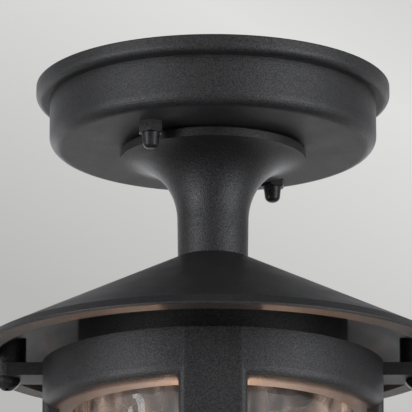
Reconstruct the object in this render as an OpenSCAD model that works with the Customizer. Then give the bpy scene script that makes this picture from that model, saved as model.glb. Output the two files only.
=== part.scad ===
// Porch ceiling lantern: a cast ceiling canopy on a cross bar, a flared stem, a wide
// conical shade, and a caged glass that hangs from two screws under the shade.
// The ceiling is the plane z = 0 and the lantern hangs below it, on the Z axis.
// The front of the lantern faces -Y.

/* [Canopy] */
// Diameter over the rolled lip at the ceiling
lip_d = 127; // [122:0.5:140]
// Height of the lip
lip_h = 6; // [5:0.25:8]
// Radius of the lip's lower edge
lip_round = 2.6; // [1:0.1:3.5]
// Diameter of the drum below the lip
drum_d = 117.2; // [113:0.2:119]
// Height of the whole canopy
canopy_h = 23.5; // [22:0.5:30]
// Radius of the drum's lower edge
drum_round = 4.5; // [2:0.25:6]
// Wall of the canopy
canopy_wall = 2.5; // [2:0.1:3]
// Diameter over the foam ring in the lip's top
foam_d = 124; // [120.5:0.5:125]
// Width of the foam ring
foam_w = 3; // [2:0.25:3.5]
// Thickness of the foam ring
foam_h = 1.5; // [1:0.25:2.5]

/* [Ceiling bar] */
// Length of the bar that screws to the ceiling
bar_l = 98; // [94:1:104]
// Width of the bar
bar_w = 22; // [20:1:26]
// Thickness of the bar
bar_t = 2.5; // [2:0.25:3]
// Distance between the two ceiling screw holes
ceiling_pitch = 51; // [46:1:56]
// Diameter of the ceiling screw holes
ceiling_hole_d = 5; // [4:0.25:6]
// Diameter of the cable hole in the middle
cable_hole_d = 14; // [10:0.5:15]
// Distance from the axis to the earth screw
earth_screw_x = 14; // [13:0.5:15]
// Diameter of the earth screw
earth_screw_d = 4; // [3:0.5:4]
// Direction of the bar, seen from above
bar_angle = 58.1; // [45:0.1:70]

/* [Canopy studs and cap nuts] */
// Distance between the two studs
stud_pitch = 82.4; // [80:0.4:86]
// Diameter of the studs
stud_d = 5; // [4:0.5:5]
// Depth of the stud inside the cap nut
stud_reach = 7; // [6:0.25:7.25]
// Width of the cap nuts across their flats
cap_nut_af = 8; // [7.5:0.1:9]
// Height of the cap nuts' six-sided part
cap_nut_hex_h = 4.1; // [3:0.1:5]
// Height of the whole cap nut
cap_nut_h = 9.5; // [9:0.25:12]
// Diameter of the cap nuts' dome under the six-sided part
cap_nut_dome_d = 6.4; // [6.2:0.1:7.4]
// Diameter of the dome above its rounded end
cap_nut_tip_d = 5.6; // [5.6:0.1:6.2]
// Radius of the dome's rounded end
cap_nut_tip_round = 2; // [1.2:0.1:2]
// Slope of the chamfer on the six-sided part's corners
cap_nut_chamfer = 30; // [20:1:40]
// Thickness of the lock nuts under the bar
lock_nut_h = 4; // [3:0.25:5]
// Direction of a corner of the front cap nut, from the front
front_nut_turn = 0; // [-30:1:30]
// Direction of a corner of the back cap nut, from the front
back_nut_turn = -8; // [-30:1:30]

/* [Stem] */
// Diameter of the stem's top plate
plate_d = 66.6; // [60:0.2:72]
// Thickness of the top plate
plate_h = 3.4; // [3:0.2:5]
// Thickness of the gasket above the plate
plate_gasket_h = 0.7; // [0.5:0.1:1.5]
// Height of the stem
stem_h = 39.8; // [36:0.2:60]
// Height of the flare below the plate
flare_h = 22.3; // [18:0.1:26]
// Diameter of the stem's waist below the flare
waist_d = 25.4; // [24:0.2:30]
// Diameter of the stem's foot
foot_d = 25; // [23:0.2:29]
// Wall of the stem
stem_wall = 3.2; // [2.5:0.1:4]

/* [Tube and nuts] */
// Diameter of the threaded tube
tube_d = 10; // [9:0.5:11]
// Bore of the threaded tube
tube_bore = 7; // [6.5:0.25:7.5]
// Clearance round the tube in its holes
tube_gap = 0.3; // [0.1:0.05:0.5]
// Width of the tube nuts across their flats
tube_nut_af = 14; // [13.5:0.25:16]
// Thickness of the tube nuts
tube_nut_h = 4.5; // [3:0.25:5]
// Diameter of the tube washers
tube_washer_d = 19; // [17:0.5:20]
// Thickness of the tube washers
tube_washer_h = 1.2; // [1:0.1:1.5]
// Length of tube above the upper nut
tube_stand = 1.5; // [1:0.25:3]

/* [Shade] */
// Diameter over the shade's lower edge
shade_d = 170.6; // [166:0.2:190]
// Taper of the rim band, on the radius
rim_taper = 3.2; // [1.5:0.1:4]
// Height of the rim band
rim_h = 4; // [3:0.1:6]
// Slope of the cone
cone_angle = 25.75; // [22:0.25:30]
// Thickness of the shade at its hub
hub_t = 3; // [2.5:0.1:4]
// Width of the flat strip under the rim
strip_w = 7.6; // [5:0.1:9]
// Height of the step inside the strip
strip_step = 2.4; // [1.5:0.1:3]
// Thickness of the seal in the hub
seal_h = 1.2; // [0.8:0.1:1.5]
// Width of the seal in the hub
seal_w = 2; // [1.5:0.1:2.5]

/* [Lamp housing] */
// Diameter of the housing under the shade
housing_d = 95.4; // [92:0.2:96]
// Wall of the housing
housing_t = 2; // [1.5:0.1:2.5]
// Radius of the housing's shoulder
housing_round = 2.5; // [2.2:0.1:4]
// Gap between the housing's shoulder and the shade
housing_gap = 2.3; // [0.5:0.1:4]
// Thickness of the housing's bottom flange
flange_t = 2; // [1.5:0.1:2.5]
// Thickness of the gasket under the flange
glass_gasket_h = 1.7; // [1.2:0.1:2.5]

/* [Cage] */
// Diameter of the cage
cage_d = 121; // [119:0.5:125]
// Gap between the shade's lower edge and the cage's top
cage_gap = 1.7; // [0.6:0.1:3]
// Height of the top ring
ring_h = 17.75; // [16:0.25:20]
// Height of the bottom ring
foot_ring_h = 19; // [17:0.25:24]
// Wall of the rings
ring_wall = 3.5; // [3:0.1:3.8]
// Radius of the ring edges at the windows
window_round = 4.5; // [3:0.25:5]
// Thickness of the inner ledges
ledge_t = 3; // [2.5:0.1:4]
// Clearance between the ledges and the glass
ledge_gap = 0.8; // [0.6:0.1:1.2]
// Height of the windows
window_h = 102; // [90:1:140]
// Width of the posts
post_w = 23.4; // [18:0.2:28]
// Thickness of the posts
post_t = 6; // [5:0.25:8]
// Radius of the posts' outer edges
post_round = 2.4; // [1:0.1:2.8]
// Width of the bottom flange under the glass, from the glass's edge inward
seat_w = 6; // [5:0.5:7]
// Radius of the cage's bottom edge
cage_foot_round = 3; // [1:0.25:3.25]

/* [Cage arms and screws] */
// Distance from the axis to the cage screws
arm_reach = 72.6; // [71.8:0.2:74]
// Width of the arms
arm_w = 15; // [13:0.5:18]
// Thickness of the arms
arm_t = 4.6; // [4:0.1:6]
// Gap between the arms and the bosses above them
arm_gap = 0.3; // [0.2:0.05:0.5]
// Diameter of the bosses under the shade
boss_d = 13.2; // [12:0.2:13.6]
// Diameter of the cage screws
arm_screw_d = 5; // [4:0.5:5]
// Length of the cage screws under the head
arm_screw_l = 12; // [11:0.5:12]
// Diameter of the screw heads
head_d = 9.3; // [8.5:0.1:10.5]
// Height of the screw heads
head_h = 4; // [3:0.25:5]
// Depth of the cross recess in the screw heads
recess_h = 1.6; // [1:0.1:2]

/* [Glass] */
// Diameter of the glass
glass_d = 98; // [97.6:0.2:101]
// Thickness of the glass
glass_t = 2.8; // [2.2:0.1:3.2]
// Height of glass behind the top ring, above the windows
glass_rise = 10.5; // [8:0.25:11.5]
// Diameter of the domed bottom
dome_d = 84; // [78:0.5:85]
// Depth of the domed bottom
dome_h = 13.5; // [8:0.5:20]
// Thickness of the gasket that the glass stands on
seat_gasket_h = 2; // [1.5:0.1:3]

/* [Lampholder] */
// Diameter of the lampholder
holder_d = 38; // [36:0.5:42]
// Height of the lampholder's body
holder_h = 32; // [31:0.5:36]
// Height of the lampholder's cap
holder_cap_h = 9.7; // [9:0.1:12]
// Wall of the lampholder's cap
holder_cap_t = 2; // [1.5:0.1:2.5]
// Length of tube inside the lampholder's cap
tube_in_cap = 5.5; // [4:0.25:6]
// Bore of the brass screw shell
shell_bore = 27; // [26.9:0.1:28]
// Thickness of the screw shell
shell_t = 0.8; // [0.5:0.1:1]
// Height of the screw shell
shell_h = 26; // [24:0.5:27]
// Thickness of the lampholder's floor
holder_floor = 3; // [2.5:0.25:4]
// Height of the sprung middle contact
spring_h = 2; // [1.5:0.1:2.2]

/* [Bulb] */
// Diameter of the bulb's screw cap
bulb_cap_d = 26.4; // [26:0.1:26.6]
// Height of the bulb's screw cap
bulb_cap_h = 21.5; // [21:0.25:24]
// Diameter of the bulb
bulb_d = 60; // [45:1:64]
// Height of the bulb's glass
bulb_h = 80; // [74:1:86]
// Thickness of the bulb's glass
bulb_t = 0.9; // [0.6:0.1:1.5]
// Number of light filaments
filament_n = 4; // [2:1:6]
// Length of the light filaments
filament_l = 30; // [24:1:34]

/* [Wiring] */
// Diameter of the insulated wires
wire_d = 2.4; // [2:0.1:2.5]
// Length of the terminal block
block_l = 34; // [30:1:38]
// Width of the terminal block
block_w = 17; // [14:1:19]
// Distance between the terminal block's poles
pole_pitch = 10; // [9:0.5:11]
// Distance between the terminal block's two rows of screws
row_pitch = 8; // [7:0.5:9]
// Height of the terminal block
block_h = 12; // [10:0.5:14]
// Distance from the axis to the terminal block's middle
block_y = 33; // [32:0.5:36]
// Thickness of the earth tag
tag_h = 0.8; // [0.5:0.1:1]

/* [Hidden] */

fine = 96;              // segments of the round pieces
arc_n = 8;              // steps in a rounded edge
flare_n = 22;           // steps in the stem's flare
fit = 0.05;             // running clearance, on the radius, of screws and nuts
hole_gap = 0.3;         // clearance, on the radius, of plain screw holes
overlap = 0.5;          // how far a cut runs past the face it opens
end_inset = 0.2;        // how far screw ends stop short of the ceiling
black = [0.13, 0.13, 0.14];
zinc = [0.72, 0.73, 0.74];
brass = [0.80, 0.66, 0.36];
rubber = [0.08, 0.08, 0.08];
ceramic = [0.90, 0.88, 0.84];

// Heights, from the ceiling down
canopy_z = -canopy_h;
canopy_floor = canopy_z + canopy_wall;
plate_z = canopy_z - plate_gasket_h;
plate_bottom = plate_z - plate_h;
stem_z = plate_z - stem_h;
flare_z = plate_bottom - flare_h;
hub_bottom = stem_z - hub_t;
rim_r = shade_d / 2 - rim_taper;
rim_z = stem_z - (rim_r - foot_d / 2) * tan(cone_angle);
shade_z = rim_z - rim_h;
strip_r = shade_d / 2 - strip_w;
strip_z = shade_z + strip_step;
inner_hub_r = foot_d / 2 + stem_wall;
shoulder_r = housing_d / 2 - housing_round;
housing_z = inner_cone(shoulder_r) - housing_gap;
housing_floor = housing_z - housing_t;
cage_z = shade_z - cage_gap;
window_z = cage_z - ring_h;
glass_z = window_z + glass_rise;
housing_bottom = glass_z + glass_gasket_h;
sill_z = window_z - window_h;
cage_bottom = sill_z - foot_ring_h;
seat_z = cage_bottom + ledge_t;
glass_bottom = seat_z + seat_gasket_h;
arm_z = cage_z - arm_t;
boss_z = cage_z + arm_gap;
screw_end_gap = 0.4;
screw_hole_h = arm_screw_l - arm_t - arm_gap + screw_end_gap;

// Radii of the cage
cage_r = cage_d / 2;
post_flat = post_w / 2 - post_round;
post_face = sqrt(pow(cage_r, 2) - pow(post_flat, 2));
glass_r = glass_d / 2;
ledge_r = glass_r + ledge_gap;
seat_r = glass_r - seat_w;

// Canopy studs and nuts
stud_r = stud_pitch / 2;
stud_end = canopy_z - stud_reach;
lock_nut_af = cap_nut_af;

// Heights of the tube, its nuts and the lampholder
washer_top = canopy_floor + tube_washer_h;
tag_top = washer_top + tag_h;
tube_top = tag_top + tube_nut_h + tube_stand;
holder_cap_z = housing_floor - tube_nut_h;
tube_bottom = holder_cap_z - tube_in_cap;
holder_z = holder_cap_z - holder_cap_h;
shell_z = holder_z - holder_floor;
bulb_tip_z = shell_z - spring_h;
bulb_button_h = 0.8;
bulb_cap_t = 0.6;
bulb_insulator_h = 3;
bulb_cap_z = bulb_tip_z - bulb_button_h - bulb_insulator_h;
bulb_neck_z = bulb_cap_z - bulb_cap_h;
bulb_button_r = 4.5;
bulb_end_r = 10.5;
bulb_neck_r = bulb_cap_d / 2 - bulb_cap_t - fit;
bulb_tuck = 4;
filament_drop = 34;      // how far the light rods' tops lie below the bulb's neck
filament_z = bulb_neck_z - filament_drop;
stalk_r = 2.2;
stalk_h = 12;
hole_r = tube_d / 2 + tube_gap;

// Wire routes: points chosen by hand, in the bar's own directions
wire_r = wire_d / 2;
lead_gap = 0.75;        // gap between each wire and the tube's bore
lead_x = tube_bore / 2 - wire_r - lead_gap;
block_face = block_y - block_w / 2;
well_d = 4.6;
well_h = 6;
well_z = canopy_floor + block_h - well_h;
live_route = wire_route(lead_x);
neutral_route = wire_route(-lead_x);
earth_route = [
    [12, block_face, canopy_floor + 5], [12, block_face - 3, canopy_floor + 5],
    [12, 18, canopy_floor + 4.6], [11.5, 14.5, canopy_floor + 3.6],
    [10, 12.3, canopy_floor + 2.9], [8.4, 10.9, tag_top + wire_r + fit]
];

function wire_route(x) = [
    [4 * sign(x), block_face, canopy_floor + 6],
    [4 * sign(x), block_face - 3, canopy_floor + 6],
    [3.8 * sign(x), 17.5, canopy_floor + 7],
    [3.4 * sign(x), 12, tube_top + 1.5],
    [2.6 * sign(x), 7, tube_top + 4],
    [2 * sign(x), 3, tube_top + 4.6],
    [x, 0.8, tube_top + 3.6],
    [x, 0, tube_top + 1.2],
    [x, 0, tube_top - 4],
    [x, 0, tube_bottom + 4],
    [x, 0, holder_z]
];

// Points of an arc about c, from angle a to angle b
function arc(c, r, a, b, n = arc_n) = [
    for (i = [0:n])
        let (t = a + (b - a) * i / n)
        [c[0] + r * cos(t), c[1] + r * sin(t)]
];

// Points of the stem's flare, from the plate's edge down to the waist
function flare_points() = [
    for (i = [0:flare_n])
        let (t = 90 * i / flare_n)
        [
            plate_d / 2 - (plate_d / 2 - waist_d / 2) * sin(t),
            flare_z + flare_h * cos(t)
        ]
];

// Height of the shade's inner surface at radius r
function inner_cone(r) =
    hub_bottom + (r - inner_hub_r) * (strip_z - hub_bottom) / (strip_r - inner_hub_r);

// Direction of a route at point i
function heading(p, i) =
    let (a = p[max(i - 1, 0)], b = p[min(i + 1, len(p) - 1)])
    (b - a) / norm(b - a);

// One ring of points round point i of a route, turned so that it never twists
function ring(p, i, r, n) =
    let (d = heading(p, i), u = cross(d, [1, 0, 0]), s = u / norm(u), w = cross(d, s))
    [for (k = [0:n - 1]) p[i] + r * (cos(360 * k / n) * s + sin(360 * k / n) * w)];

// A round wire along a route
module wire(p, r, n = 10) {
    points = [for (i = [0:len(p) - 1]) each ring(p, i, r, n)];
    last = (len(p) - 1) * n;
    sides = [
        for (i = [0:len(p) - 2], k = [0:n - 1])
            let (a = i * n + k, b = i * n + (k + 1) % n)
            each [[a, a + n, b], [b, a + n, b + n]]
    ];
    ends = [
        for (k = [1:n - 2])
            each [[0, k, k + 1], [last, last + k + 1, last + k]]
    ];
    polyhedron(points = points, faces = concat(sides, ends));
}

// A turned ring or disc between two heights
module turned(outer_r, inner_r, top, bottom) {
    difference() {
        translate([0, 0, bottom])
            cylinder(r = outer_r, h = top - bottom, $fn = fine);
        if (inner_r > 0)
            translate([0, 0, bottom - overlap])
                cylinder(r = inner_r, h = top - bottom + 2 * overlap, $fn = fine);
    }
}

// A body turned about the Z axis from a profile of [radius, height] points
module lathe(profile) {
    rotate_extrude($fn = fine)
        polygon(profile);
}

// A hole along Z between two heights, open past both of them
module drill(d, top, bottom) {
    translate([0, 0, bottom - overlap])
        cylinder(d = d, h = top - bottom + 2 * overlap, $fn = 48);
}

// A six-sided nut with its bore
module hex_nut(af, bore, top, bottom) {
    difference() {
        translate([0, 0, bottom])
            cylinder(d = af / cos(30), h = top - bottom, $fn = 6);
        drill(bore, top, bottom);
    }
}

// Places its children at both studs, in the bar's direction
module at_studs() {
    for (side = [-1, 1])
        rotate([0, 0, bar_angle])
            translate([side * stud_r, 0, 0])
                children();
}

/* ---------- ceiling bar ---------- */

module crossbar() {
    color(zinc)
        rotate([0, 0, bar_angle])
            difference() {
                translate([-bar_l / 2, -bar_w / 2, -bar_t])
                    cube([bar_l, bar_w, bar_t]);
                drill(cable_hole_d, 0, -bar_t);
                for (side = [-1, 1]) {
                    translate([side * ceiling_pitch / 2, 0, 0])
                        drill(ceiling_hole_d, 0, -bar_t);
                    translate([side * stud_r, 0, 0])
                        drill(stud_d + 2 * fit, 0, -bar_t);
                }
                translate([earth_screw_x, 0, 0])
                    drill(earth_screw_d + 2 * fit, 0, -bar_t);
            }
}

module crossbar_studs() {
    color(zinc)
        at_studs()
            translate([0, 0, stud_end])
                cylinder(d = stud_d, h = -stud_end - end_inset, $fn = 48);
}

module stud_lock_nuts() {
    color(zinc)
        at_studs()
            hex_nut(lock_nut_af, stud_d + 2 * fit, -bar_t, -bar_t - lock_nut_h);
}

module earth_screw() {
    pan_d = 2 * earth_screw_d;
    pan_h = 2.4;
    slot_w = 1;
    pan_z = -bar_t - pan_h;
    color(brass)
        rotate([0, 0, bar_angle])
            translate([earth_screw_x, 0, 0])
                difference() {
                    union() {
                        translate([0, 0, -bar_t])
                            cylinder(d = earth_screw_d, h = bar_t - end_inset, $fn = 48);
                        translate([0, 0, pan_z])
                            cylinder(d = pan_d, h = pan_h, $fn = 48);
                    }
                    translate([-pan_d / 2, -slot_w / 2, pan_z - overlap])
                        cube([pan_d, slot_w, 1 + overlap]);
                }
}

/* ---------- canopy ---------- */

module ceiling_gasket() {
    color(rubber)
        turned(foam_d / 2, foam_d / 2 - foam_w, 0, -foam_h);
}

module canopy() {
    lip_r = lip_d / 2;
    drum_r = drum_d / 2;
    top_round = 0.6;
    color(black)
        difference() {
            lathe(concat(
                arc([lip_r - top_round, -top_round], top_round, 90, 0, 3),
                arc([lip_r - lip_round, -lip_h + lip_round], lip_round, 0, -90),
                [[drum_r, -lip_h]],
                arc([drum_r - drum_round, canopy_z + drum_round], drum_round, 0, -90),
                [[0, canopy_z], [0, canopy_floor]],
                arc(
                    [drum_r - drum_round, canopy_z + drum_round],
                    drum_round - canopy_wall, -90, 0, 5
                ),
                [[drum_r - canopy_wall, 0]]
            ));
            turned(foam_d / 2, foam_d / 2 - foam_w, overlap, -foam_h);
            drill(2 * hole_r, canopy_floor, canopy_z);
            at_studs()
                drill(stud_d + 2 * hole_gap, canopy_floor, canopy_z);
        }
}

// The six-sided part of a cap nut, with its lower corners turned off
module cap_nut_hex() {
    corner_r = cap_nut_af / 2 / cos(30) + 0.1;
    flat_r = cap_nut_af / 2 - 0.1;
    low = canopy_z - cap_nut_hex_h;
    intersection() {
        translate([0, 0, low])
            cylinder(d = cap_nut_af / cos(30), h = cap_nut_hex_h, $fn = 6);
        lathe([
            [0, canopy_z], [corner_r, canopy_z],
            [corner_r, low + (corner_r - flat_r) * tan(cap_nut_chamfer)],
            [flat_r, low], [0, low]
        ]);
    }
}

module cap_nut(side, turn) {
    tip = [
        cap_nut_tip_d / 2 - cap_nut_tip_round,
        canopy_z - cap_nut_h + cap_nut_tip_round
    ];
    color(black)
        rotate([0, 0, bar_angle])
            translate([side * stud_r, 0, 0])
                difference() {
                    union() {
                        rotate([0, 0, turn - 90 - bar_angle])
                            cap_nut_hex();
                        rotate_extrude($fn = 48)
                            polygon(concat(
                                [
                                    [0, canopy_z - 1], [cap_nut_dome_d / 2, canopy_z - 1],
                                    [cap_nut_dome_d / 2, canopy_z - cap_nut_hex_h]
                                ],
                                arc(tip, cap_nut_tip_round, 0, -90),
                                [[0, canopy_z - cap_nut_h]]
                            ));
                    }
                    drill(stud_d + 2 * fit, canopy_z, stud_end);
                }
}

module cap_nut_front() {
    cap_nut(-1, front_nut_turn);
}

module cap_nut_back() {
    cap_nut(1, back_nut_turn);
}

/* ---------- stem and tube ---------- */

module stem_gasket() {
    setback = 2.5;
    color(rubber)
        turned(plate_d / 2 - setback, hole_r, canopy_z, plate_z);
}

module stem() {
    edge = 0.5;
    cavity_r = waist_d / 2 - stem_wall;
    color(black)
        difference() {
            lathe(concat(
                [[0, plate_z]],
                arc([plate_d / 2 - edge, plate_z - edge], edge, 90, 0, 3),
                flare_points(),
                [[foot_d / 2, stem_z], [0, stem_z]]
            ));
            drill(2 * hole_r, plate_z, stem_z);
            turned(cavity_r, 0, plate_bottom - stem_wall, stem_z + 2 * stem_wall);
        }
}

module stem_seal() {
    color(rubber)
        turned(foot_d / 2 - seal_w, foot_d / 2 - 2 * seal_w, stem_z, stem_z - seal_h);
}

module threaded_tube() {
    color(zinc)
        turned(tube_d / 2, tube_bore / 2, tube_top, tube_bottom);
}

module tube_nuts() {
    bore = tube_d + 2 * fit;
    shade_nut = hub_bottom - tube_washer_h;
    color(zinc) {
        hex_nut(tube_nut_af, bore, tag_top + tube_nut_h, tag_top);
        hex_nut(tube_nut_af, bore, shade_nut, shade_nut - tube_nut_h);
        hex_nut(tube_nut_af, bore, housing_z + tube_nut_h, housing_z);
        hex_nut(tube_nut_af, bore, housing_floor, housing_floor - tube_nut_h);
    }
}

module tube_washers() {
    color(zinc) {
        turned(tube_washer_d / 2, hole_r, washer_top, canopy_floor);
        turned(tube_washer_d / 2, hole_r, hub_bottom, hub_bottom - tube_washer_h);
    }
}

/* ---------- wiring in the canopy ---------- */

module earth_tag() {
    tail_w = 4;
    tail_reach = tube_washer_d / 2 + 5;
    tail_turn = 52;
    color(brass)
        rotate([0, 0, bar_angle])
            difference() {
                union() {
                    turned(tube_washer_d / 2 - 0.5, 0, tag_top, washer_top);
                    rotate([0, 0, tail_turn])
                        translate([0, -tail_w / 2, washer_top])
                            cube([tail_reach, tail_w, tag_h]);
                }
                drill(2 * hole_r, tag_top, washer_top);
            }
}

// Places its children at the bottom of each screw well in the terminal block
module at_wells() {
    rotate([0, 0, bar_angle])
        for (x = [-1, 0, 1], y = [-1, 1])
            translate([x * pole_pitch, block_y + y * row_pitch / 2, well_z])
                children();
}

module terminal_block() {
    color(ceramic)
        difference() {
            rotate([0, 0, bar_angle])
                translate([-block_l / 2, block_face, canopy_floor])
                    cube([block_l, block_w, block_h]);
            at_wells()
                cylinder(d = well_d, h = block_h, $fn = 32);
        }
}

module terminal_screws() {
    screw_d = well_d - 2 * hole_gap;
    screw_h = well_h - 1.5;
    slot_w = 0.8;
    color(brass)
        at_wells()
            difference() {
                cylinder(d = screw_d, h = screw_h, $fn = 32);
                translate([-screw_d, -slot_w / 2, screw_h - slot_w])
                    cube([2 * screw_d, slot_w, 2 * slot_w]);
            }
}

module wire_live() {
    color([0.45, 0.27, 0.15])
        rotate([0, 0, bar_angle])
            wire(live_route, wire_r);
}

module wire_neutral() {
    color([0.20, 0.35, 0.62])
        rotate([0, 0, bar_angle])
            wire(neutral_route, wire_r);
}

module wire_earth() {
    color([0.35, 0.55, 0.20])
        rotate([0, 0, bar_angle])
            wire(earth_route, wire_r);
}

/* ---------- shade ---------- */

module shade() {
    edge = 0.8;
    outer_r = shade_d / 2;
    color(black)
        difference() {
            union() {
                lathe(concat(
                    [[0, stem_z], [foot_d / 2 + 0.4, stem_z], [rim_r, rim_z]],
                    arc([outer_r - edge, shade_z + edge], edge, 0, -90, 4),
                    [
                        [strip_r, shade_z], [strip_r, shade_z + strip_step],
                        [inner_hub_r, hub_bottom], [0, hub_bottom]
                    ]
                ));
                intersection() {
                    for (side = [-1, 1])
                        translate([side * arm_reach, 0, boss_z])
                            cylinder(d = boss_d, h = stem_z - boss_z, $fn = 64);
                    lathe([
                        [foot_d / 2, stem_z - 1], [rim_r, rim_z - 1],
                        [rim_r, boss_z], [foot_d / 2, boss_z]
                    ]);
                }
            }
            drill(2 * hole_r, stem_z, hub_bottom);
            turned(foot_d / 2 - seal_w, foot_d / 2 - 2 * seal_w, stem_z + overlap, stem_z - seal_h);
            for (side = [-1, 1])
                translate([side * arm_reach, 0, boss_z - overlap])
                    cylinder(d = arm_screw_d + 2 * fit, h = screw_hole_h + overlap, $fn = 48);
        }
}

/* ---------- lamp housing ---------- */

module lamp_housing() {
    r = housing_d / 2;
    corner = [shoulder_r, housing_z - housing_round];
    color(black)
        difference() {
            lathe(concat(
                [[0, housing_z]],
                arc(corner, housing_round, 90, 0, 6),
                [
                    [r, housing_bottom + flange_t], [glass_r, housing_bottom + flange_t],
                    [glass_r, housing_bottom], [r - housing_t, housing_bottom]
                ],
                arc(corner, housing_round - housing_t, 0, 90, 4),
                [[0, housing_floor]]
            ));
            drill(2 * hole_r, housing_z, housing_floor);
        }
}

module housing_gasket() {
    lap = 1;
    color(rubber)
        turned(glass_r, glass_r - glass_t - lap, housing_bottom, glass_z);
}

/* ---------- lampholder ---------- */

module lampholder_cap() {
    neck_r = tube_d / 2 + holder_cap_t + 1;
    shoulder = 6;
    r = holder_d / 2;
    color(rubber)
        difference() {
            lathe(concat(
                [[0, holder_cap_z], [neck_r, holder_cap_z]],
                arc([r - shoulder, holder_z + shoulder], shoulder, 90, 0),
                [[r, holder_z], [0, holder_z]]
            ));
            drill(tube_d + 2 * fit, holder_cap_z, tube_bottom);
            turned(r - shoulder, 0, tube_bottom, holder_z - overlap);
        }
}

module lampholder_body() {
    color(rubber)
        difference() {
            turned(holder_d / 2, 0, holder_z, holder_z - holder_h);
            turned(
                shell_bore / 2 + shell_t + fit, 0, shell_z, holder_z - holder_h - overlap
            );
        }
}

module lampholder_shell() {
    shell_drop = 2;
    top = shell_z - shell_drop;
    color(brass)
        turned(shell_bore / 2 + shell_t, shell_bore / 2, top, top - shell_h);
}

module lampholder_contact() {
    leaf_w = 6;
    leaf_l = shell_bore / 2 - 1.5;
    leaf_t = 0.6;
    tip_gap = 0.1;
    color(brass) {
        translate([-leaf_w / 2, -leaf_w / 2, shell_z - leaf_t])
            cube([leaf_w, leaf_w / 2 + leaf_l, leaf_t]);
        translate([0, 0, bulb_tip_z + tip_gap])
            cylinder(d = leaf_w - 1, h = spring_h - 2 * tip_gap, $fn = 32);
    }
}

/* ---------- bulb ---------- */

module bulb_contact() {
    color(zinc)
        turned(bulb_button_r, 0, bulb_tip_z, bulb_tip_z - bulb_button_h);
}

module bulb_insulator() {
    top = bulb_tip_z - bulb_button_h;
    color([0.12, 0.10, 0.10])
        lathe([
            [0, top], [bulb_button_r, top], [bulb_end_r, bulb_cap_z], [0, bulb_cap_z]
        ]);
}

module bulb_cap() {
    r = bulb_cap_d / 2;
    color(zinc)
        lathe([
            [0, bulb_cap_z], [bulb_end_r, bulb_cap_z], [r, bulb_cap_z - 3],
            [r, bulb_neck_z], [r - bulb_cap_t, bulb_neck_z],
            [r - bulb_cap_t, bulb_cap_z - 3.2],
            [bulb_end_r - 0.4, bulb_cap_z - bulb_cap_t], [0, bulb_cap_z - bulb_cap_t]
        ]);
}

// Outline of the bulb, inset from its outer face: a neck, a shoulder and a ball
function bulb_outline(inset) =
    let (
        r = bulb_d / 2,
        middle = bulb_neck_z - bulb_h + r,
        start = 40,
        from = [bulb_neck_r, bulb_neck_z],
        to = [r * cos(start), middle + r * sin(start)]
    )
    concat(
        [[bulb_neck_r - inset, bulb_neck_z + bulb_tuck]],
        [
            for (i = [0:9])
                let (t = i / 10, s = t * t * (3 - 2 * t))
                [from[0] + (to[0] - from[0]) * s - inset, from[1] + (to[1] - from[1]) * t]
        ],
        arc([0, middle], r - inset, start, -90, 20)
    );

module bulb_glass() {
    inner = bulb_outline(bulb_t);
    color([0.95, 0.93, 0.88, 0.5])
        lathe(concat(
            bulb_outline(0),
            [for (i = [len(inner) - 1:-1:0]) inner[i]]
        ));
}

module bulb_mount() {
    foot_r = bulb_neck_r - bulb_t - hole_gap;
    foot_h = 1;
    funnel_h = 8;
    bead_h = 3;
    color([0.90, 0.92, 0.90])
        lathe([
            [0, bulb_neck_z + foot_h], [foot_r, bulb_neck_z + foot_h],
            [foot_r, bulb_neck_z - foot_h], [2 * stalk_r, bulb_neck_z - funnel_h],
            [1.4 * stalk_r, filament_z + bead_h], [stalk_r, filament_z + bead_h / 3],
            [stalk_r, filament_z - stalk_h], [0, filament_z - stalk_h]
        ]);
}

module bulb_filaments() {
    ring_r = 6;
    rod_d = 1.6;
    lead_t = 0.6;
    inner = stalk_r + 0.1;
    low = filament_z - filament_l;
    color([1.0, 0.78, 0.35])
        for (i = [0:filament_n - 1])
            rotate([0, 0, 360 * i / filament_n + 45]) {
                translate([ring_r, 0, low])
                    cylinder(d = rod_d, h = filament_l, $fn = 24);
                translate([inner, -lead_t / 2, filament_z - lead_t])
                    cube([ring_r - inner, lead_t, lead_t]);
                translate([0, -lead_t / 2, low])
                    cube([ring_r, lead_t, lead_t]);
            }
}

/* ---------- cage ---------- */

// Section of the window ring: wall, rounded window edge and inner ledge,
// from its outer end at height far to the window at height near
module window_ring(far, near) {
    way = sign(near - far);
    r = cage_r;
    lathe(concat(
        [[r - ring_wall, far], [r, far]],
        arc([r - window_round, near - way * window_round], window_round, 0, way * 90),
        [
            [ledge_r, near], [ledge_r, near - way * ledge_t],
            [r - ring_wall, near - way * ledge_t]
        ]
    ));
}

// Section of one post: a flat outer face with rounded edges
module post_section() {
    half = post_w / 2;
    inner = post_face - post_t;
    corner = post_face - post_round;
    polygon(concat(
        [[inner, half], [inner, -half]],
        arc([corner, -post_flat], post_round, -90, 0, 6),
        arc([corner, post_flat], post_round, 0, 90, 6)
    ));
}

// The cage's two rings, flattened where the posts cross them
module rings() {
    foot_z = cage_bottom + cage_foot_round;
    difference() {
        union() {
            window_ring(cage_z, window_z);
            window_ring(foot_z, sill_z);
            lathe(concat(
                [[cage_r, foot_z]],
                arc([cage_r - cage_foot_round, foot_z], cage_foot_round, 0, -90, 6),
                [
                    [seat_r, cage_bottom], [seat_r, seat_z],
                    [cage_r - ring_wall, seat_z], [cage_r - ring_wall, foot_z]
                ]
            ));
        }
        for (a = [0:90:270])
            rotate([0, 0, a])
                translate([post_face, -post_w, cage_bottom - overlap])
                    cube([cage_r, 2 * post_w, cage_z - cage_bottom + 2 * overlap]);
    }
}

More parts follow.
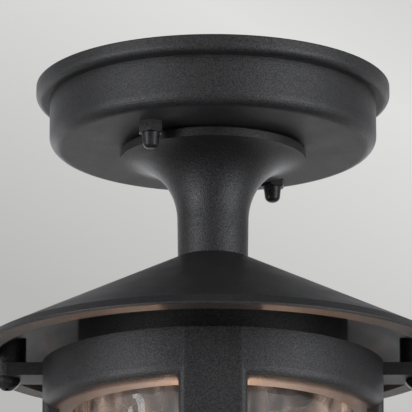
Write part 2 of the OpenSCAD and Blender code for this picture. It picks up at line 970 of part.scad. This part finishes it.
module cage() {
    post_z = cage_bottom + cage_foot_round;
    color(black)
        difference() {
            union() {
                rings();
                for (a = [0:90:270])
                    rotate([0, 0, a])
                        translate([0, 0, post_z])
                            linear_extrude(cage_z - post_z)
                                post_section();
                for (side = [-1, 1])
                    translate([0, 0, arm_z])
                        linear_extrude(arm_t)
                            arm_section(side);
            }
            for (side = [-1, 1])
                translate([side * arm_reach, 0, 0])
                    drill(arm_screw_d + 2 * hole_gap, cage_z, arm_z);
        }
}

// Plan of one arm, from inside the ring's wall out round its screw
module arm_section(side) {
    start = cage_r - ring_wall + 1;
    translate([side > 0 ? start : -arm_reach, -arm_w / 2])
        square([arm_reach - start, arm_w]);
    translate([side * arm_reach, 0])
        circle(d = arm_w, $fn = 64);
}

module seat_gasket() {
    setback = 0.5;
    color(rubber)
        turned(glass_r, seat_r + setback, glass_bottom, seat_z);
}

module glass_jar() {
    r = glass_r;
    edge = 1.2;
    dome_r = dome_d / 2;
    inner_r = dome_r - glass_t;
    color([0.85, 0.90, 0.92, 0.45])
        lathe(concat(
            [[r - glass_t, glass_z], [r, glass_z]],
            arc([r - edge, glass_bottom + edge], edge, 0, -90, 4),
            [[dome_r, glass_bottom]],
            [
                for (i = [1:12])
                    [dome_r * cos(90 * i / 12), glass_bottom - dome_h * sin(90 * i / 12)]
            ],
            [
                for (i = [12:-1:0])
                    [
                        inner_r * cos(90 * i / 12),
                        glass_bottom + glass_t - dome_h * sin(90 * i / 12)
                    ]
            ],
            [[r - glass_t, glass_bottom + glass_t]]
        ));
}

// Round-headed screw that goes up through an arm into its boss
module arm_screw() {
    slot_w = 1.2;
    recess_l = 4;
    brim = 1;
    rise = head_h - brim;
    cap_r = (pow(head_d / 2, 2) + pow(rise, 2)) / (2 * rise);
    sweep = asin(head_d / 2 / cap_r);
    color(black)
        difference() {
            union() {
                translate([0, 0, arm_z - brim])
                    cylinder(d = arm_screw_d, h = arm_screw_l + brim, $fn = 48);
                rotate_extrude($fn = 64)
                    polygon(concat(
                        [[0, arm_z], [head_d / 2, arm_z]],
                        arc([0, arm_z - head_h + cap_r], cap_r, sweep - 90, -90)
                    ));
            }
            for (a = [0, 90])
                rotate([0, 0, a])
                    translate([-recess_l / 2, -slot_w / 2, arm_z - head_h - overlap])
                        cube([recess_l, slot_w, recess_h + overlap]);
        }
}

module arm_screw_left() {
    translate([-arm_reach, 0, 0])
        arm_screw();
}

module arm_screw_right() {
    translate([arm_reach, 0, 0])
        arm_screw();
}

crossbar();
crossbar_studs();
stud_lock_nuts();
earth_screw();
ceiling_gasket();
canopy();
stem_gasket();
stem();
stem_seal();
threaded_tube();
tube_nuts();
tube_washers();
earth_tag();
terminal_block();
terminal_screws();
wire_live();
wire_neutral();
wire_earth();
shade();
lamp_housing();
housing_gasket();
lampholder_cap();
lampholder_body();
lampholder_shell();
lampholder_contact();
bulb_contact();
bulb_insulator();
bulb_cap();
bulb_glass();
bulb_mount();
bulb_filaments();
cap_nut_front();
cap_nut_back();
cage();
seat_gasket();
glass_jar();
arm_screw_left();
arm_screw_right();
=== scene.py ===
from math import cos, radians, sin

import bmesh
import bpy
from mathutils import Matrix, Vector

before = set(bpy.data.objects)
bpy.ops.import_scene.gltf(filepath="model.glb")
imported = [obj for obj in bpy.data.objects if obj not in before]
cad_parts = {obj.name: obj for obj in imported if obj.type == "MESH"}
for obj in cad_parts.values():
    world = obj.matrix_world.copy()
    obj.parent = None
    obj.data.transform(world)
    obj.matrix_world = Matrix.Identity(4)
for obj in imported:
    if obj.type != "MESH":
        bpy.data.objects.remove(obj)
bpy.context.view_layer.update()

# ---------- Ceiling bar ----------
# A flat strip of pressed steel, zinc plated, that two screws hold to the junction
# box. Its plating shows the faint long streaks of the strip that it was cut from.


def blank_finish(name):
    """A new material, with its nodes, its links and its shader."""
    material = bpy.data.materials.new(name)
    material.use_nodes = True
    tree = material.node_tree
    return material, tree.nodes, tree.links, tree.nodes["Principled BSDF"]


def mottle(nodes, links, size, detail=2.0, stretch=(1, 1, 1)):
    """Noise over the object in spots of that size in metres, from 0 to 1."""
    place = nodes.new("ShaderNodeTexCoord")
    turn = nodes.new("ShaderNodeMapping")
    turn.inputs["Scale"].default_value = stretch
    spots = nodes.new("ShaderNodeTexNoise")
    spots.inputs["Scale"].default_value = 1 / size
    spots.inputs["Detail"].default_value = detail
    links.new(place.outputs["Object"], turn.inputs["Vector"])
    links.new(turn.outputs["Vector"], spots.inputs["Vector"])
    return spots.outputs["Fac"]


def spread(nodes, links, value, low, high, start=0.3, end=0.7):
    """That value from start to end, turned into low to high."""
    between = nodes.new("ShaderNodeMapRange")
    between.inputs["From Min"].default_value = start
    between.inputs["From Max"].default_value = end
    between.inputs["To Min"].default_value = low
    between.inputs["To Max"].default_value = high
    links.new(value, between.inputs["Value"])
    return between.outputs["Result"]


def tint(nodes, links, value, dark, pale):
    """A colour from dark to pale, by a value from 0 to 1."""
    ramp = nodes.new("ShaderNodeValToRGB")
    ramp.color_ramp.elements[0].position = 0.3
    ramp.color_ramp.elements[1].position = 0.7
    ramp.color_ramp.elements[0].color = (*dark, 1)
    ramp.color_ramp.elements[1].color = (*pale, 1)
    links.new(value, ramp.inputs["Fac"])
    return ramp.outputs["Color"]


def dent(nodes, links, shader, height, depth):
    """Bumps on the shader from a height, that deep in metres."""
    bump = nodes.new("ShaderNodeBump")
    bump.inputs["Distance"].default_value = depth
    links.new(height, bump.inputs["Height"])
    links.new(bump.outputs["Normal"], shader.inputs["Normal"])


def coated(node, material):
    """Gives that material to a CAD node."""
    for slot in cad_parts[node].material_slots:
        slot.material = material


def surface(name, size, detail, dark, pale, rough, depth, metal=0.0, stretch=(1, 1, 1)):
    """One mottled material: its two colours, its roughness and its bumps in metres."""
    material, nodes, links, shader = blank_finish(name)
    spots = mottle(nodes, links, size, detail, stretch)
    links.new(tint(nodes, links, spots, dark, pale), shader.inputs["Base Color"])
    links.new(spread(nodes, links, spots, *rough), shader.inputs["Roughness"])
    shader.inputs["Metallic"].default_value = metal
    if depth:
        dent(nodes, links, shader, spots, depth)
    return material


strip_dark, strip_pale = (0.48, 0.49, 0.50), (0.66, 0.67, 0.68)
zinc = surface(
    "zinc_plate", 0.004, 4.0, strip_dark, strip_pale, (0.28, 0.46), 0.00003, 1.0, (0.12, 1, 1)
)
coated("crossbar", zinc)

# ---------- Canopy studs and their lock nuts ----------
# Two M5 steel studs stand through the bar, each locked by a nut under it. Both are
# barrel plated, so the zinc is even and a little duller than on the strip.
barrel_zinc = surface(
    "barrel_zinc", 0.0015, 3.0, (0.42, 0.43, 0.45), (0.60, 0.61, 0.62), (0.32, 0.5), 0.00002, 1.0
)
coated("crossbar_studs", barrel_zinc)
coated("stud_lock_nuts", barrel_zinc)

# ---------- Earth screw ----------
# A slotted brass screw in the bar, for the earth wire. The brass is bare and has
# gone a little brown in patches.
brass = surface(
    "bare_brass", 0.003, 5.0, (0.50, 0.33, 0.13), (0.78, 0.58, 0.27), (0.42, 0.26), 0.00002, 1.0
)
coated("earth_screw", brass)

# ---------- Ceiling gasket ----------
# A ring of black closed-cell foam, stuck into the groove in the canopy's lip. Its
# skin is dull and full of small pores.
foam = surface(
    "black_foam", 0.0006, 3.0, (0.018, 0.018, 0.018), (0.045, 0.045, 0.044), (0.95, 0.8), 0.0002
)
coated("ceiling_gasket", foam)

# ---------- Canopy ----------
# A round cast aluminium dish with a rolled lip. It is powder coated in a dry black
# with a fine sandy grain, as the stem, the shade and the cage are.


def powder_coat(name):
    """Black powder over a casting: sandy grain, fine speckle and soft mottling."""
    material, nodes, links, shader = blank_finish(name)
    sand = mottle(nodes, links, 0.00042, 2.0)
    cloud = mottle(nodes, links, 0.012, 3.0)
    both = nodes.new("ShaderNodeMath")
    both.operation = "MULTIPLY_ADD"
    both.inputs[1].default_value = 0.25
    links.new(cloud, both.inputs[0])
    links.new(spread(nodes, links, sand, 0.0, 0.75), both.inputs[2])
    links.new(
        tint(nodes, links, both.outputs[0], (0.006, 0.006, 0.0065), (0.018, 0.018, 0.019)),
        shader.inputs["Base Color"],
    )
    links.new(spread(nodes, links, cloud, 0.40, 0.48), shader.inputs["Roughness"])
    links.new(spread(nodes, links, sand, 0.34, 0.74), shader.inputs["Specular IOR Level"])
    dent(nodes, links, shader, sand, 0.00015)
    return material


casting = powder_coat("powder_coat")
coated("canopy", casting)

# ---------- Stem gasket and seal ----------
# Flat rings of black silicone, one above the stem's plate and one in the shade's
# hub. They keep the rain out of the wiring.
silicone = surface(
    "black_silicone", 0.005, 4.0, (0.010, 0.010, 0.010), (0.022, 0.022, 0.022), (0.5, 0.66), 0.00003
)
coated("stem_gasket", silicone)
coated("stem_seal", silicone)

# ---------- Stem ----------
# One hollow casting: a flat plate that flares down into a straight neck, coated
# with the canopy.
coated("stem", casting)

# ---------- Threaded tube, its nuts and washers ----------
# An M10 steel tube carries everything below the canopy and takes the wires down to
# the lampholder. Four nuts and two washers hold it.
coated("threaded_tube", barrel_zinc)
coated("tube_nuts", barrel_zinc)
coated("tube_washers", barrel_zinc)

# ---------- Earth tag ----------
# A stamped brass tag under the upper tube nut, for the earth wire.
coated("earth_tag", brass)

# ---------- Terminal block ----------
# A white moulded block with six brass screws in its wells, where the supply cable
# is joined to the lantern's own wires.
white_nylon = surface(
    "white_nylon", 0.006, 3.0, (0.74, 0.73, 0.69), (0.82, 0.81, 0.78), (0.42, 0.52), 0.00004
)
coated("terminal_block", white_nylon)
coated("terminal_screws", brass)

# ---------- Wires ----------
# Three soft insulated wires run from the block: live and neutral down the tube,
# earth to its tag. Each has the slight waxy mottling of fresh insulation.
for wire, name, dark, pale in (
    ("wire_live", "brown_insulation", (0.10, 0.045, 0.018), (0.14, 0.065, 0.028)),
    ("wire_neutral", "blue_insulation", (0.03, 0.09, 0.32), (0.05, 0.13, 0.42)),
    ("wire_earth", "green_insulation", (0.05, 0.20, 0.03), (0.42, 0.50, 0.04)),
):
    coated(wire, surface(name, 0.003, 3.0, dark, pale, (0.38, 0.5), 0.00003))

# ---------- Shade ----------
# A wide cast cone with a narrow rim band and a flat strip under it, coated like the
# canopy.
coated("shade", casting)

# ---------- Lamp housing and its gasket ----------
# A cast cup under the shade that covers the lampholder, coated like the canopy inside
# and out, with a flat black ring on its lower edge for the glass.
coated("lamp_housing", casting)
coated("housing_gasket", silicone)

# ---------- Lampholder ----------
# A black moulded cap screws on to the tube and holds a black moulded body, which
# has a brass screw shell and a sprung brass contact.
phenolic = surface(
    "black_phenolic", 0.002, 4.0, (0.012, 0.011, 0.010), (0.024, 0.021, 0.019), (0.3, 0.42), 0.00003
)
coated("lampholder_cap", phenolic)
coated("lampholder_body", phenolic)
coated("lampholder_shell", brass)
coated("lampholder_contact", brass)

# ---------- Bulb ----------
# A clear round bulb with a rolled aluminium cap, a glass stalk and upright light
# rods. The rods are coated in a warm yellow that glows.
roll_dark, roll_pale = (0.55, 0.56, 0.57), (0.74, 0.75, 0.76)
bulb_metal = surface(
    "bulb_aluminium", 0.002, 4.0, roll_dark, roll_pale, (0.22, 0.36), 0.00003, 1.0, (1, 1, 6)
)
coated("bulb_contact", bulb_metal)
coated("bulb_cap", bulb_metal)
coated("bulb_insulator", phenolic)


def see_through(name, colour, ripple, depth, rough):
    """Clear glass with ripples, which lets lamplight through without a shadow."""
    material, nodes, links, shader = blank_finish(name)
    shader.inputs["Base Color"].default_value = (*colour, 1)
    shader.inputs["Transmission Weight"].default_value = 1.0
    shader.inputs["IOR"].default_value = 1.5
    waves = mottle(nodes, links, ripple, 1.5, (1, 1, 0.6))
    links.new(spread(nodes, links, waves, rough, rough + 0.02), shader.inputs["Roughness"])
    dent(nodes, links, shader, waves, depth)
    path = nodes.new("ShaderNodeLightPath")
    clear = nodes.new("ShaderNodeBsdfTransparent")
    clear.inputs["Color"].default_value = (*colour, 1)
    mix = nodes.new("ShaderNodeMixShader")
    links.new(path.outputs["Is Shadow Ray"], mix.inputs["Fac"])
    links.new(shader.outputs["BSDF"], mix.inputs[1])
    links.new(clear.outputs["BSDF"], mix.inputs[2])
    links.new(mix.outputs["Shader"], nodes["Material Output"].inputs["Surface"])
    return material


bulb_clear = see_through("bulb_clear", (0.99, 0.985, 0.97), 0.03, 0.00005, 0.0)
coated("bulb_glass", bulb_clear)
coated("bulb_mount", bulb_clear)

glow = surface("light_rods", 0.001, 2.0, (0.90, 0.52, 0.16), (1.0, 0.66, 0.26), (0.5, 0.65), 0.0)
rods = glow.node_tree.nodes["Principled BSDF"]
rods.inputs["Emission Color"].default_value = (1.0, 0.62, 0.28, 1)
rods.inputs["Emission Strength"].default_value = 1.2
coated("bulb_filaments", glow)

# ---------- Cap nuts ----------
# Two domed M5 nuts hold the canopy on its studs. They are lacquered black, smoother
# and glossier than the castings.
lacquer = surface(
    "black_lacquer", 0.0014, 4.0, (0.010, 0.010, 0.011), (0.022, 0.022, 0.023), (0.22, 0.36), 0.00004
)
lacquer.node_tree.nodes["Principled BSDF"].inputs["Specular IOR Level"].default_value = 0.3
coated("cap_nut_front", lacquer)
coated("cap_nut_back", lacquer)

# ---------- Cage ----------
# One casting: two rings joined by four posts, with an arm on each side that takes a
# screw. It is coated like the canopy.
coated("cage", casting)

# ---------- Seat gasket ----------
# A flat silicone ring on the cage's bottom flange, which the glass stands on.
coated("seat_gasket", silicone)

# ---------- Glass ----------
# A clear pressed glass cylinder with a domed bottom. Its walls are softly rippled
# from the mould, and the ripples catch a little of the lamplight.
pressed = see_through("lantern_glass", (0.97, 0.98, 0.98), 0.016, 0.0018, 0.01)
nodes, links = pressed.node_tree.nodes, pressed.node_tree.links
haze = mottle(nodes, links, 0.009, 2.0, (1, 1, 0.35))
through = nodes.new("ShaderNodeBsdfTranslucent")
back = nodes.new("ShaderNodeBsdfDiffuse")
milk = nodes.new("ShaderNodeMixShader")
links.new(through.outputs["BSDF"], milk.inputs[1])
links.new(back.outputs["BSDF"], milk.inputs[2])
hazy = nodes.new("ShaderNodeMixShader")
links.new(spread(nodes, links, haze, 0.0, 0.09, 0.44, 0.62), hazy.inputs["Fac"])
glass_out = nodes["Material Output"].inputs["Surface"]
links.new(glass_out.links[0].from_socket, hazy.inputs[1])
links.new(milk.outputs["Shader"], hazy.inputs[2])
links.new(hazy.outputs["Shader"], glass_out)
coated("glass_jar", pressed)

# ---------- Cage screws ----------
# Two round-headed M5 screws hold the cage's arms up against the shade's bosses, in
# the same lacquer as the cap nuts.
coated("arm_screw_left", lacquer)
coated("arm_screw_right", lacquer)

# ---------- Floor ----------
# The studio's floor: a pale matt sheet far below the lantern, outside the view.
sheet = bmesh.new()
bmesh.ops.create_grid(sheet, x_segments=1, y_segments=1, size=9.0)
bmesh.ops.translate(sheet, verts=sheet.verts, vec=(0, 0, -3.6))
floor_mesh = bpy.data.meshes.new("floor")
sheet.to_mesh(floor_mesh)
sheet.free()
floor = bpy.data.objects.new("floor", floor_mesh)
bpy.context.scene.collection.objects.link(floor)
paper, nodes, links, shader = blank_finish("pale_paper")
fibre = mottle(nodes, links, 0.05, 3.0)
links.new(
    tint(nodes, links, fibre, (0.70, 0.70, 0.68), (0.74, 0.74, 0.72)),
    shader.inputs["Base Color"],
)
shader.inputs["Roughness"].default_value = 0.9
floor_mesh.materials.append(paper)

# ---------- Camera ----------
# A long lens below the lantern and in front of it, looking up. Its length is given in
# pixels of a picture 412 pixels wide.
picture_width = 412
lens_in_pixels = 4200
pitch = radians(15.569)
camera_data = bpy.data.cameras.new("camera")
camera_data.sensor_width = 36.0
camera_data.lens = lens_in_pixels / picture_width * camera_data.sensor_width
camera_data.clip_end = 100.0
camera = bpy.data.objects.new("camera", camera_data)
camera.location = (0, -1.445, -0.4468)
camera.rotation_euler = (radians(90) + pitch, 0, radians(0.098))
bpy.context.scene.collection.objects.link(camera)
bpy.context.scene.camera = camera

# ---------- Backdrop and studio ----------
# A pale grey backdrop with a soft diagonal sweep of light. The rest of the studio is
# soft pools of light on its walls and ceiling, which the dark coat mirrors dimly.
world = bpy.data.worlds.new("studio")
bpy.context.scene.world = world
world.use_nodes = True
nodes, links = world.node_tree.nodes, world.node_tree.links
nodes.clear()
band_offset = 173.0 / lens_in_pixels
band_reach = 342.0 / lens_in_pixels
right_way = Vector((1, 0, 0))
up_way = Vector((0, -sin(pitch), cos(pitch)))
sweep_way = -0.484 * right_way - 0.875 * up_way
look = nodes.new("ShaderNodeTexCoord")
sweep = nodes.new("ShaderNodeVectorMath")
sweep.operation = "DOT_PRODUCT"
sweep.inputs[1].default_value = sweep_way
links.new(look.outputs["Generated"], sweep.inputs[0])
from_band = nodes.new("ShaderNodeMath")
from_band.operation = "ADD"
from_band.inputs[1].default_value = band_offset
links.new(sweep.outputs["Value"], from_band.inputs[0])
either_side = nodes.new("ShaderNodeMath")
either_side.operation = "ABSOLUTE"
links.new(from_band.outputs[0], either_side.inputs[0])
fade = nodes.new("ShaderNodeMapRange")
fade.inputs["From Min"].default_value = 0.0
fade.inputs["From Max"].default_value = band_reach
links.new(either_side.outputs[0], fade.inputs["Value"])
backdrop = nodes.new("ShaderNodeMix")
backdrop.data_type = "RGBA"
backdrop.inputs["A"].default_value = (0.745, 0.745, 0.730, 1)
backdrop.inputs["B"].default_value = (0.479, 0.479, 0.468, 1)
links.new(fade.outputs["Result"], backdrop.inputs["Factor"])


def toward(way, power):
    """How near a direction is to that way, from 0 to 1, falling off by that power."""
    facing = nodes.new("ShaderNodeVectorMath")
    facing.operation = "DOT_PRODUCT"
    facing.inputs[1].default_value = Vector(way).normalized()
    links.new(look.outputs["Generated"], facing.inputs[0])
    falloff = nodes.new("ShaderNodeMath")
    falloff.operation = "POWER"
    falloff.inputs[1].default_value = power
    share = spread(nodes, links, facing.outputs["Value"], 0.0, 1.0, -1.0, 1.0)
    links.new(share, falloff.inputs[0])
    return falloff.outputs[0]


pools = None
for way, power, strength in (
    ((0, 0, 1), 6.0, 0.34),
    ((0, 0.96, -0.28), 14.0, 2.3),
    ((0, 0.94, 0.34), 14.0, 0.31),
    ((-0.72, 0.66, -0.2), 14.0, 0.78),
    ((0.72, 0.66, -0.2), 14.0, 0.52),
    ((1, -0.1, -0.1), 14.0, 0.25),
    ((-0.75, -0.6, 0.25), 14.0, 1.55),
    ((0.75, -0.6, 0.25), 14.0, 1.75),
):
    pool = nodes.new("ShaderNodeMath")
    pool.operation = "MULTIPLY_ADD"
    pool.inputs[1].default_value = strength
    pool.inputs[2].default_value = 0.0
    links.new(toward(way, power), pool.inputs[0])
    if pools:
        links.new(pools, pool.inputs[2])
    pools = pool.outputs[0]
room = nodes.new("ShaderNodeMix")
room.data_type = "RGBA"
room.inputs["A"].default_value = (0, 0, 0, 1)
room.inputs["B"].default_value = (0.97, 0.975, 1.0, 1)
room.clamp_factor = False
links.new(pools, room.inputs["Factor"])

path = nodes.new("ShaderNodeLightPath")
direct = nodes.new("ShaderNodeMath")
direct.operation = "MAXIMUM"
links.new(path.outputs["Is Camera Ray"], direct.inputs[0])
links.new(path.outputs["Is Transmission Ray"], direct.inputs[1])
mirrored = nodes.new("ShaderNodeMath")
mirrored.operation = "MULTIPLY_ADD"
links.new(path.outputs["Is Glossy Ray"], mirrored.inputs[0])
links.new(
    spread(nodes, links, toward((0, 0.97, -0.24), 1.0), 0.0, 1.0, 0.98, 0.997),
    mirrored.inputs[1],
)
links.new(direct.outputs[0], mirrored.inputs[2])
mirrored.use_clamp = True
choice = nodes.new("ShaderNodeMix")
choice.data_type = "RGBA"
links.new(mirrored.outputs[0], choice.inputs["Factor"])
links.new(room.outputs["Result"], choice.inputs["A"])
links.new(backdrop.outputs["Result"], choice.inputs["B"])
light = nodes.new("ShaderNodeBackground")
out = nodes.new("ShaderNodeOutputWorld")
links.new(choice.outputs["Result"], light.inputs["Color"])
links.new(light.outputs["Background"], out.inputs["Surface"])

# ---------- Softboxes ----------
# Two tall softboxes stand either side of the camera, a little below the lantern.
# The left one is slightly stronger.


def softbox(name, side, power):
    """A soft lamp beside the camera, side degrees round from it, aimed at the stem."""
    lamp_data = bpy.data.lights.new(name, "AREA")
    lamp_data.shape = "RECTANGLE"
    lamp_data.size = 0.55
    lamp_data.size_y = 0.9
    lamp_data.energy = power
    lamp_data.color = (0.955, 0.965, 1.0)
    lamp = bpy.data.objects.new(name, lamp_data)
    lamp.location = (1.3 * sin(radians(side)), -1.3 * cos(radians(side)), -0.35)
    aim = Vector((0, 0, -0.08)) - lamp.location
    lamp.rotation_euler = aim.to_track_quat("-Z", "Y").to_euler()
    bpy.context.scene.collection.objects.link(lamp)


softbox("softbox_left", -56, 7.6)
softbox("softbox_right", 59, 7.0)

# ---------- Light in the bulb ----------
# The warm light that the rods give, from the upper and the lower half of the bulb.
for half, height, power in (("upper", -0.150, 0.09), ("lower", -0.186, 0.50)):
    bulb_light = bpy.data.lights.new("bulb_light_" + half, "POINT")
    bulb_light.energy = power
    bulb_light.shadow_soft_size = 0.006
    bulb_light.color = (1.0, 0.62, 0.44)
    lit = bpy.data.objects.new("bulb_light_" + half, bulb_light)
    lit.location = (0, 0, height)
    bpy.context.scene.collection.objects.link(lit)

bpy.context.scene.view_settings.view_transform = "Standard"
